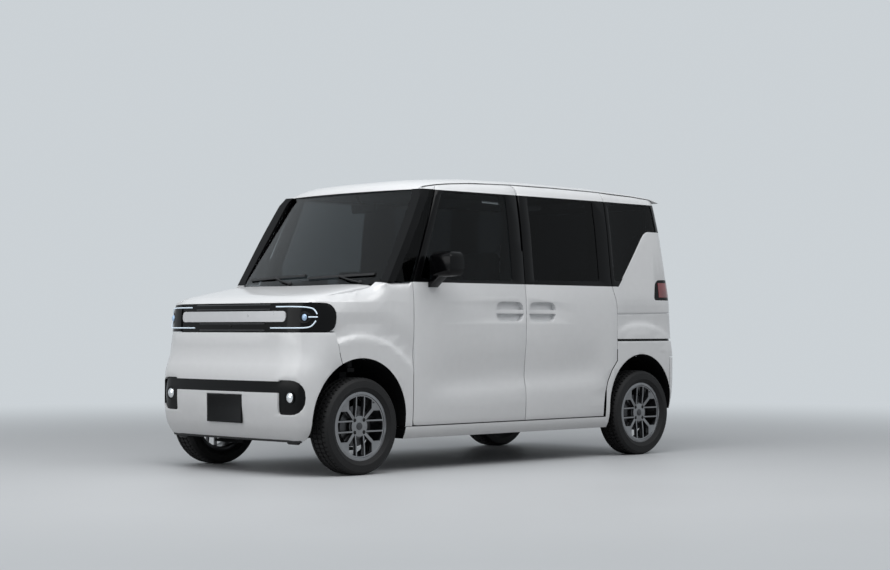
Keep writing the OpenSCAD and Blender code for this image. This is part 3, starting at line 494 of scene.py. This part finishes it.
# %% Section of the tyre
half_section = [
    (0.191, 0.051), (0.2, 0.057), (0.2, 0.067), (0.209, 0.0735), (0.2225, 0.0796), (0.224, 0.0815),
    (0.228, 0.0819), (0.2295, 0.0808), (0.245, 0.0812), (0.2585, 0.0796), (0.26, 0.0804), (0.2625, 0.0796),
    (0.2635, 0.0784), (0.2715, 0.0726), (0.2775, 0.0653), (0.2803, 0.0583), (0.2812, 0.052), (0.2815, 0.042),
    (0.2745, 0.0415), (0.2745, 0.0345), (0.2815, 0.034), (0.2815, 0.019), (0.2815, 0.004), (0.2745, 0.0036),
]
section = half_section + [(r, -v) for r, v in reversed(half_section)]
tread_r = 0.2765
steps = 180
rib_edge = 0.038
groove_wall, groove_depth = 0.0026, 0.006
wheels = [f"{end}_{side}" for end in ("front", "rear") for side in sides]


def axle(wheel):
    low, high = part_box("rim_" + wheel)
    return Vector([(a + b) / 2 for a, b in zip(low, high)])


def strip_of(place, hub):
    turn = math.atan2(place.z - hub.z, place.y - hub.y) / (2 * math.pi) + 0.5
    rib = int(abs(place.x - hub.x) > rib_edge)
    return (int(turn * steps) + rib) % 3


print("section of", len(section), "points for", len(wheels), "tyres")

# %% [markdown]
# A ring of vertices takes the section's shape and Spin turns it around the axle. Every third strip of
# tread is then inset and sunk, which cuts the cross grooves. A modifier could do the same, but Spin
# keeps the mesh in plain view. One tyre is made, and the other three are copies on their own axles.

# %% Tyres
hub = axle(wheels[0])
bpy.ops.object.select_all(action="DESELECT")
bpy.ops.mesh.primitive_circle_add(vertices=len(section))
tyre = bpy.context.active_object
tyre.name = "tread_" + wheels[0]
for vertex, (r, v) in zip(tyre.data.vertices, section):
    vertex.co = hub + Vector((v, 0, r))
edit(tyre)
bpy.ops.mesh.spin(steps=steps, angle=2 * math.pi, center=hub, axis=(1, 0, 0))
bpy.ops.mesh.select_all(action="SELECT")
bpy.ops.mesh.remove_doubles(threshold=1e-5)
bpy.ops.mesh.normals_make_consistent(inside=False)
done()


def in_groove(face):
    away = face.center - hub
    on_tread = math.hypot(away.y, away.z) > tread_r and abs(face.normal.x) < 0.75
    return on_tread and strip_of(face.center, hub) == 0


edit_faces(tyre, in_groove)
bpy.ops.mesh.inset(thickness=groove_wall, depth=-groove_depth)
done()
tyre.data.materials.append(rubber)
smooth(tyre, 28)
tyres = [tyre] + [copy_of(tyre, "tread_" + wheel, axle(wheel) - hub) for wheel in wheels[1:]]
for tyre, wheel in zip(tyres, wheels):
    stands_for(tyre, "tyre_" + wheel)
    print(tyre.name, len(tyre.data.polygons), "faces")

# %% [markdown]
# The wheel itself is dark with a machined face. Its copy gets softly broken edges, and the faces
# that look straight outward take the lighter metal, as a lathe would leave them.

# %% Rims
machined_from = 0.046


def outward(wheel):
    return 1 if wheel.endswith("left") else -1


for wheel in wheels:
    hub, out = axle(wheel), outward(wheel)
    rim = copied("rim_" + wheel, "wheel_" + wheel)
    rim.data.materials.append(dark_alloy)
    rim.data.materials.append(bright_alloy)
    for face in rim.data.polygons:
        depth = (face.center.x - hub.x) * out
        face.material_index = int(face.normal.x * out > 0.9 and depth > machined_from)
    rounded(rim, 0.0016, angle=40, segments=2)
    smooth(rim)
    stands_for(rim, "rim_" + wheel)
print("rims:", len(wheels))

# %% [markdown]
# Four nuts with their studs, a small cap and a valve finish a wheel. One nut and its stud are made
# from two cylinders and copied around the axle. The front wheel's set is then copied to the rear wheel.


# %% Nuts, caps and valves
def rod(name, place, direction, radius, length, sides=24, edge=0.0):
    bpy.ops.object.select_all(action="DESELECT")
    bpy.ops.mesh.primitive_cylinder_add(vertices=sides, radius=radius, depth=length, location=place)
    obj = bpy.context.active_object
    obj.name = name
    obj.rotation_euler = Vector(direction).to_track_quat("Z", "Y").to_euler()
    bpy.ops.object.transform_apply(location=True, rotation=True, scale=True)
    if edge:
        rounded(obj, edge, segments=2)
    return obj


def joined(pieces, name):
    select_only(pieces[0])
    for piece in pieces:
        piece.select_set(True)
    bpy.ops.object.join()
    pieces[0].name = name
    return pieces[0]


nut_circle = 0.05
nut_turns = [math.radians(45 + 90 * k) for k in range(4)]
nut_spots = [Vector((0, nut_circle * math.cos(a), nut_circle * math.sin(a))) for a in nut_turns]
for side in sides:
    front, rear = "front_" + side, "rear_" + side
    hub, out = axle(front), outward(front)
    place = hub + nut_spots[0] + Vector((out * 0.042, 0, 0))
    nut = rod("nut", place, (out, 0, 0), 0.0088, 0.016, sides=6, edge=0.0008)
    stud = rod("stud", place + Vector((out * 0.006, 0, 0)), (out, 0, 0), 0.0045, 0.012, sides=12)
    nut = joined([nut, stud], "nut")
    nut.data.materials.append(steel)
    nuts = [nut] + [copy_of(nut, "nut", spot - nut_spots[0]) for spot in nut_spots[1:]]
    cap = rod("cap", hub + Vector((out * 0.051, 0, 0)), (out, 0, 0), 0.022, 0.006, sides=40, edge=0.0015)
    cap.data.materials.append(dark_alloy)
    valve = rod("valve", hub + Vector((out * 0.058, 0.1, 0.138)), (out, -0.3, -0.4), 0.0035, 0.024, sides=10)
    valve.data.materials.append(satin_black)
    fittings = joined(nuts + [cap, valve], "wheel_fittings_" + front)
    smooth(fittings)
    twin = copy_of(fittings, "wheel_fittings_" + rear, axle(rear) - hub)
    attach(fittings, node_body["rim_" + front])
    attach(twin, node_body["rim_" + rear])
    print("fittings on", front, "and", rear, "with", len(fittings.data.polygons), "faces each")

# %% [markdown]
# The nose carries thin light lines, slats and lenses that follow its curve. Each line is a thin tube
# along a curve, which is then made a mesh. A ray sent back from in front finds how deep the face lies
# at each point. A Shrinkwrap modifier could seat them too, but a ray gives plain numbers to check.


# %% Tubes and lenses on a curved face
def face_y(x, z, *targets, beside=0.0):
    hits = [t.ray_cast((x + dx, -3, z), (0, 1, 0)) for t in targets for dx in (-beside, 0, beside)]
    return min(place.y for hit, place, normal, index in hits if hit)


def tube(name, points, radius, material):
    curve = bpy.data.curves.new(name, "CURVE")
    curve.dimensions = "3D"
    curve.bevel_depth = radius
    curve.bevel_resolution = 3
    curve.use_fill_caps = True
    spline = curve.splines.new("NURBS")
    spline.points.add(len(points) - 1)
    for point, place in zip(spline.points, points):
        point.co = (*place, 1)
    spline.use_endpoint_u = True
    spline.order_u = 3
    spline.resolution_u = 5
    obj = bpy.data.objects.new(name, curve)
    bpy.context.scene.collection.objects.link(obj)
    select_only(obj)
    bpy.ops.object.convert(target="MESH")
    obj.data.materials.append(material)
    return obj


def disc(name, place, radius, bulge, material):
    bpy.ops.object.select_all(action="DESELECT")
    bpy.ops.mesh.primitive_uv_sphere_add(segments=32, ring_count=16, radius=radius, location=place)
    obj = bpy.context.active_object
    obj.name = name
    obj.scale = (1, bulge, 1)
    bpy.ops.object.transform_apply(location=True, rotation=True, scale=True)
    obj.data.materials.append(material)
    return obj


def ring_on(skin, x, z, radius):
    turns = [math.radians(20 * k) for k in range(19)]
    spots = [(x + radius * math.cos(a), z + radius * math.sin(a)) for a in turns]
    return [(across, face_y(across, up, skin), up) for across, up in spots]


print("tubes and lenses ready")

# %% [markdown]
# The nose is a dark band with a blank pale bar. Light lines run above and below the bar's ends and
# bend toward each other around the corner, with a short one between them. A projector lens sits in two
# dark rings, and a bright lens in each fog lamp.

# %% Running lights and projector lenses
lamp_skin = bpy.data.objects["fitted_front_lamps"]
grille_skin = bpy.data.objects["fitted_grilles"]
upper_line = [
    (0.4, 0.971), (0.46, 0.971), (0.495, 0.971), (0.515, 0.971), (0.57, 0.97), (0.625, 0.968),
    (0.658, 0.962), (0.674, 0.95), (0.683, 0.928),
]
lower_line = [
    (0.36, 0.849), (0.45, 0.849), (0.495, 0.849), (0.515, 0.849), (0.57, 0.849), (0.625, 0.849),
    (0.655, 0.853), (0.671, 0.866), (0.681, 0.89),
]
tick = [(0.648, 0.911), (0.667, 0.911), (0.686, 0.911)]
lens_x, lens_z = 0.621, 0.909
fog_x, fog_z = 0.566, 0.453
lights = []
for out in (1, -1):
    for line in (upper_line, lower_line, tick):
        spots = [(out * x, z) for x, z in line]
        path = [(x, face_y(x, z, lamp_skin, grille_skin, beside=0.012) - 0.0005, z) for x, z in spots]
        lights.append(tube("line", path, 0.0038, light_white))
    x, z = out * lens_x, lens_z
    lights.append(disc("lens", (x, face_y(x, z, lamp_skin) + 0.002, z), 0.02, 0.5, lens_blue))
    for radius in (0.026, 0.032):
        lights.append(tube("ring", ring_on(lamp_skin, x, z, radius), 0.0016, steel))
    x, z = out * fog_x, fog_z
    lights.append(disc("fog_lens", (x, face_y(x, z, lamp_skin) + 0.004, z), 0.03, 0.45, chrome))
lights = joined(lights, "light_lines")
smooth(lights)
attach(lights, node_body["front_lamps"])
print("light lines:", len(lights.data.polygons), "faces")

# %% [markdown]
# Thin slats cross the dark band above and below the bar, and a small camera sits under the bar. A
# black lip with two small blocks runs along the foot of the bumper. All of them follow the curved nose,
# so a ray seats them again.

# %% Slats and lip
bumper_skin = bpy.data.objects["panel_front_bumper"]
slats = [(0.957, 0.35), (0.982, 0.35), (0.836, 0.31), (0.873, 0.31)]
trims = []
for z, reach in slats:
    path = [(x, face_y(x, z, grille_skin) - 0.0005, z) for x in [reach * (k / 6 - 1) for k in range(13)]]
    trims.append(tube("slat", path, 0.0032, dark_alloy))
lip_z = 0.216
path = [(x, face_y(x, lip_z, bumper_skin) + 0.012, 0.204) for x in [0.6 * (k / 8 - 1) for k in range(17)]]
trims.append(tube("lip", path, 0.009, satin_black))
for x in (-0.52, 0.52):
    place = (x, face_y(x, lip_z, bumper_skin) + 0.035, 0.197)
    block = rod("lip_block", place, (1, 0, 0), 0.016, 0.09, sides=8, edge=0.003)
    block.data.materials.append(satin_black)
    trims.append(block)
trims.append(disc("nose_camera", (0, face_y(0, 0.862, grille_skin) + 0.002, 0.862), 0.011, 0.6, black))
trims = joined(trims, "nose_trims")
smooth(trims)
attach(trims, node_body["grilles"])
print("nose trims:", len(trims.data.polygons), "faces")

# %% [markdown]
# The front plate stays blank. Its widest face is inset and sunk, which leaves a border.


# %% Front plate
def sink_face(obj, normal, border, depth):
    facing = [face for face in obj.data.polygons if face.normal.dot(Vector(normal)) > 0.9]
    widest = max(facing, key=lambda face: face.area).index
    edit_faces(obj, lambda face: face.index == widest)
    bpy.ops.mesh.inset(thickness=border, depth=-depth)
    done()


sink_face(bpy.data.objects["fitted_front_plate"], (0, -1, 0), 0.008, 0.002)
print("front plate sunk")

# %% [markdown]
# A tail lamp is a dark surround with a red lens. The lens is cut out of a copy of the lamp's own
# outer skin: only the faces that look outward stay, bisect trims the border away, and Solidify
# gives the sheet a thickness that stands just proud of the surround.


# %% Tail lenses
def outer_sheet(node, name, toward):
    sheet = copied(node, name)
    edit_faces(sheet, lambda face: not toward(face))
    bpy.ops.mesh.delete(type="FACE")
    done()
    return sheet


def thickened(obj, thickness):
    select_only(obj)
    wall = obj.modifiers.new("wall", "SOLIDIFY")
    wall.thickness = thickness
    wall.offset = 1.0
    bpy.ops.object.modifier_apply(modifier="wall")


def lamp_outside(face):
    side = math.copysign(1, face.center.x)
    return face.normal.x * side + face.normal.y > 0.7 and abs(face.center.x) > 0.6


border, front_border = 0.02, 0.05
lens = outer_sheet("tail_lamps", "tail_lenses", lamp_outside)
low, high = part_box("tail_lamps")
cut_at(lens, (0, 0, low[2] + border), (0, 0, 1), drop="behind")
cut_at(lens, (0, 0, high[2] - border), (0, 0, 1), drop="ahead")
cut_at(lens, (0, low[1] + front_border, 0), (0, 1, 0), drop="behind")
lens.data.materials.append(lens_red)
thickened(lens, 0.002)
smooth(lens)
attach(lens, node_body["tail_lamps"])
print("tail lenses:", len(lens.data.polygons), "faces")

# %% [markdown]
# The tailgate has a blank plate with a sunk face, and a grip above it. The grip and the two slim
# reflectors on the bumper are tubes that are seated by a ray from behind.


# %% Tailgate plate, grip and reflectors
def back_y(x, z, target):
    hit, place, normal, index = target.ray_cast((x, 3, z), (0, -1, 0))
    return place.y


gate = bpy.data.objects["panel_tailgate"]
plate_z, grip_z, reflector_z = 0.83, 0.985, 0.47
plate_place = (0, back_y(0, plate_z, gate) + 0.001, plate_z)
bpy.ops.object.select_all(action="DESELECT")
bpy.ops.mesh.primitive_cube_add(size=1, location=plate_place, scale=(0.33, 0.012, 0.165))
plate = bpy.context.active_object
plate.name = "rear_plate"
bpy.ops.object.transform_apply(location=True, rotation=True, scale=True)
plate.data.materials.append(satin_black)
sink_face(plate, (0, 1, 0), 0.008, 0.002)
rounded(plate, 0.0015)
path = [(x, back_y(x, grip_z, gate) + 0.001, grip_z) for x in [0.24 * (k / 6 - 1) for k in range(13)]]
grip = tube("gate_grip", path, 0.011, black)
gate_trims = joined([plate, grip], "tailgate_trims")
smooth(gate_trims)
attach(gate_trims, node_body["tailgate"])
tail_skin = bpy.data.objects["panel_rear_bumper"]
reflectors = []
for out in (1, -1):
    reach = [out * (0.44 + 0.02 * k) for k in range(7)]
    path = [(x, back_y(x, reflector_z, tail_skin) + 0.0005, reflector_z) for x in reach]
    reflectors.append(tube("reflector", path, 0.009, lens_red))
reflectors = joined(reflectors, "rear_reflectors")
smooth(reflectors)
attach(reflectors, node_body["rear_bumper"])
print("tailgate trims:", len(gate_trims.data.polygons), "faces")

# %% [markdown]
# A wiper blade is held by an arm that springs from a pivot under the bonnet's edge. The arm is a tube
# again, lifted a little off the glass between its ends.

# %% Wiper arms
screen_skin = bpy.data.objects["fitted_windscreen"]
pivot_z, arm_rise, glass_foot = 1.118, 0.042, 1.135
arms = []
for middle, pivot in ((-0.27, -0.1), (0.32, 0.5)):
    points = []
    for t, lift in ((0, 0.012), (0.35, 0.022), (0.75, 0.02), (1, 0.012)):
        x = pivot + (middle - pivot) * t
        z = pivot_z + arm_rise * t
        points.append((x, face_y(x, max(z, glass_foot), screen_skin) - lift, z))
    arms.append(tube("arm", points, 0.0055, satin_black))
    arms.append(disc("pivot", points[0], 0.014, 0.9, satin_black))
arms = joined(arms, "wiper_arms")
smooth(arms)
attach(arms, node_body["wipers"])
print("wiper arms:", len(arms.data.polygons), "faces")

# %% [markdown]
# The mirrors' glasses look backward: each is the rear face of its housing, drawn in by an inset and
# covered with a silvered sheet.


# %% Mirror glasses
def looks_back(face):
    return face.normal.y > 0.7 and face.area > 0.0004


for side in sides:
    glass = outer_sheet("mirror_" + side, "mirror_glass_" + side, looks_back)
    edit(glass)
    bpy.ops.mesh.select_mode(type="FACE")
    bpy.ops.mesh.select_all(action="SELECT")
    bpy.ops.mesh.inset(thickness=0.014, depth=0.0)
    bpy.ops.mesh.select_all(action="INVERT")
    bpy.ops.mesh.delete(type="FACE")
    done()
    glass.data.materials.append(mirror_face)
    thickened(glass, 0.0015)
    smooth(glass)
    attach(glass, node_body["mirror_" + side])
    print(glass.name, len(glass.data.polygons), "faces")

# %% [markdown]
# The cabin shows dimly through the glass and plainly through an open door. A blank display stands on
# the dashboard, a second one sits behind the steering wheel, and a small mirror hangs under the roof's
# edge. Each is a cube, brought to its size and lean, with well rounded edges.


# %% Cabin pieces
def slab(name, place, size, lean, material, edge):
    bpy.ops.object.select_all(action="DESELECT")
    bpy.ops.mesh.primitive_cube_add(size=1, location=place, scale=size, rotation=(lean, 0, 0))
    obj = bpy.context.active_object
    obj.name = name
    bpy.ops.object.transform_apply(location=True, rotation=True, scale=True)
    obj.data.materials.append(material)
    rounded(obj, edge, segments=3)
    return obj


cabin = [
    slab("display", (0.02, -0.715, 1.12), (0.26, 0.014, 0.16), math.radians(-12), black, 0.005),
    slab("display_foot", (0.02, -0.735, 1.05), (0.1, 0.03, 0.08), math.radians(-12), satin_black, 0.006),
    slab("cluster", (-0.32, -0.735, 1.105), (0.24, 0.018, 0.09), math.radians(-14), black, 0.005),
    slab("cluster_foot", (-0.32, -0.75, 1.06), (0.16, 0.03, 0.07), math.radians(-14), satin_black, 0.006),
    slab("cabin_mirror", (0, -0.59, 1.6), (0.22, 0.03, 0.06), math.radians(8), satin_black, 0.012),
    rod("mirror_stem", (0, -0.625, 1.635), (0, -0.6, 0.8), 0.009, 0.1, edge=0.002),
]
cabin[-1].data.materials.append(satin_black)
cabin = joined(cabin, "cabin_pieces")
smooth(cabin)
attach(cabin, node_body["dashboard"])
print("cabin pieces:", len(cabin.data.polygons), "faces")

# %% [markdown]
# Seats are soft, but their CAD blocks have hard edges. A voxel Remesh turns a block into an even skin,
# and Smooth lets the corners sink in, as foam under cloth does. Between the seams the foam swells, and
# along them the thread pulls the cloth in: each vertex moves along its normal, by how near its closest
# seam is. The frame under the cushion takes a plain dark plastic.

# %% Seats
seams = {"front_seats": (0.165, 0.3175, 0.47), "rear_seat": (0.0, 0.18, 0.37, 0.48)}
swell, pull, seam_half = 0.004, 0.014, 0.011
cushion_z, frame_z = 0.45, 0.43
for node, lines in seams.items():
    seat = copied(node, "soft_" + node)
    select_only(seat)
    even = seat.modifiers.new("even", "REMESH")
    even.mode = "VOXEL"
    even.voxel_size = 0.011
    soften = seat.modifiers.new("soften", "SMOOTH")
    soften.factor = 0.6
    soften.iterations = 12
    bpy.ops.object.modifier_apply(modifier="even")
    bpy.ops.object.modifier_apply(modifier="soften")
    away = [vertex.normal.copy() for vertex in seat.data.vertices]
    for vertex, normal in zip(seat.data.vertices, away):
        gap = min(abs(abs(vertex.co.x) - line) for line in lines)
        if vertex.co.z > cushion_z:
            vertex.co += normal * (swell - pull * math.exp(-((gap / seam_half) ** 2)))
    seat.data.materials.append(cloth)
    seat.data.materials.append(satin_black)
    for face in seat.data.polygons:
        face.material_index = int(face.center.z < frame_z)
    bpy.ops.object.shade_smooth()
    stands_for(seat, node)
    print(seat.name, len(seat.data.polygons), "faces")

# %% [markdown]
# The camera stands about where the photograph was taken from: off the car's left front corner, twelve
# metres from its middle and at hip height. The numbers come from fitting a camera to the wheels, the
# roof and the plate.

# %% Camera
camera = bpy.data.objects.new("camera", bpy.data.cameras.new("camera"))
bpy.context.scene.collection.objects.link(camera)
bpy.context.scene.camera = camera
around = math.radians(46.016)
yaw = math.radians(-0.416)
pitch = math.radians(1.308)
distance = 12.124
height = 0.852
camera.location = (math.sin(around) * distance, -math.cos(around) * distance, height)
camera.rotation_euler = (math.pi / 2 + pitch, 0, around + yaw)
camera.data.sensor_width = 36
camera.data.lens = 75.17
print("camera at", [round(c, 2) for c in camera.location])

# %% [markdown]
# A studio's background is seen, but it shouldn't light the car. Light Path tells which rays see it:
# those of the camera, of reflections and of glass.

# %% Rays that see the background
backdrop_colour = (0.6, 0.64, 0.67, 1)


def seen_rays(tree):
    rays = tree.nodes.new("ShaderNodeLightPath")
    seen = rays.outputs["Is Camera Ray"]
    for kind in ("Is Glossy Ray", "Is Transmission Ray"):
        either = tree.nodes.new("ShaderNodeMath")
        either.operation = "MAXIMUM"
        tree.links.new(seen, either.inputs[0])
        tree.links.new(rays.outputs[kind], either.inputs[1])
        seen = either.outputs[0]
    return seen


print("background colour", backdrop_colour[:3])

# %% [markdown]
# A studio floor runs into its backdrop without a line. A long curved sweep could be modelled. Here the
# floor stays flat, and far from the car its material fades into the backdrop's own colour, for the rays
# that see it. Near the car it is a plain pale floor, which keeps the shadow. To light that only bounces
# it is darker, so that the doors shade off downward.

# %% Fading floor material
bounce_colour = (0.22, 0.22, 0.22, 1)
fade_start = 2.2
fade_end = 10.0


def fades_out(material):
    tree = material.node_tree
    place = tree.nodes.new("ShaderNodeTexCoord")
    away = tree.nodes.new("ShaderNodeVectorMath")
    away.operation = "LENGTH"
    fade = tree.nodes.new("ShaderNodeMapRange")
    fade.interpolation_type = "SMOOTHSTEP"
    fade.inputs["From Min"].default_value = fade_start
    fade.inputs["From Max"].default_value = fade_end
    share = tree.nodes.new("ShaderNodeMath")
    share.operation = "MULTIPLY"
    far = tree.nodes.new("ShaderNodeEmission")
    far.inputs["Color"].default_value = backdrop_colour
    mix = tree.nodes.new("ShaderNodeMixShader")
    tree.links.new(place.outputs["Object"], away.inputs[0])
    tree.links.new(away.outputs["Value"], fade.inputs["Value"])
    tree.links.new(fade.outputs["Result"], share.inputs[0])
    tree.links.new(seen_rays(tree), share.inputs[1])
    tree.links.new(share.outputs[0], mix.inputs["Fac"])
    tree.links.new(tree.nodes["Principled BSDF"].outputs[0], mix.inputs[1])
    tree.links.new(far.outputs[0], mix.inputs[2])
    tree.links.new(mix.outputs[0], tree.nodes["Material Output"].inputs["Surface"])


def bounces_less(material):
    tree = material.node_tree
    colour = tree.nodes["Principled BSDF"].inputs["Base Color"]
    pale = colour.links[0].from_socket
    either = tree.nodes.new("ShaderNodeMix")
    either.data_type = "RGBA"
    either.inputs[6].default_value = bounce_colour
    tree.links.new(seen_rays(tree), either.inputs[0])
    tree.links.new(pale, either.inputs[7])
    tree.links.new(either.outputs[2], colour)


print("floor fades out between", fade_start, "and", fade_end, "m")

# %% [markdown]
# The floor is one wide plane, which isn't part of the car.

# %% Floor
bpy.ops.object.select_all(action="DESELECT")
bpy.ops.mesh.primitive_plane_add(size=120, location=(0, 0, 0))
floor = bpy.context.active_object
floor.name = "studio_floor"
ground = grain(finish("pale_floor", (0.52, 0.535, 0.55), 0.55), 30, 0.0005, tone=0.02)
fades_out(ground)
bounces_less(ground)
floor.data.materials.append(ground)
print("floor ready")

# %% [markdown]
# A studio lights a glossy car with large soft sources, so that the paint shows long calm
# reflections. One wide panel hangs above, one stands at the front and one high at the side.

# %% Lamps
aim = Vector((0, 0, 0.8))
for name, place, size, power in [
    ("top_panel", (1.5, -2.8, 5.4), 5.0, 235),
    ("front_panel", (-3.0, -9.0, 3.6), 6.0, 150),
    ("side_panel", (5.5, 1.2, 6.0), 4.0, 150),
]:
    lamp = bpy.data.lights.new(name, "AREA")
    lamp.size = size
    lamp.energy = power
    panel = bpy.data.objects.new(name, lamp)
    bpy.context.scene.collection.objects.link(panel)
    panel.location = place
    panel.rotation_euler = (aim - Vector(place)).to_track_quat("-Z", "Y").to_euler()
    print(name, power, "W")

# %% [markdown]
# The world gives a weak even fill. The rays that see it find the pale backdrop instead. The Standard
# view transform shows colours about as they are written.

# %% Background
world = bpy.data.worlds.new("studio")
bpy.context.scene.world = world
world.use_nodes = True
tree = world.node_tree
backdrop = tree.nodes.new("ShaderNodeBackground")
backdrop.inputs["Color"].default_value = backdrop_colour
fill = tree.nodes["Background"]
fill.inputs["Color"].default_value = (0.95, 0.97, 1.0, 1)
fill.inputs["Strength"].default_value = 0.26
mix = tree.nodes.new("ShaderNodeMixShader")
tree.links.new(seen_rays(tree), mix.inputs["Fac"])
tree.links.new(fill.outputs[0], mix.inputs[1])
tree.links.new(backdrop.outputs[0], mix.inputs[2])
tree.links.new(mix.outputs[0], tree.nodes["World Output"].inputs["Surface"])
bpy.context.scene.view_settings.view_transform = "Standard"
print("studio ready")
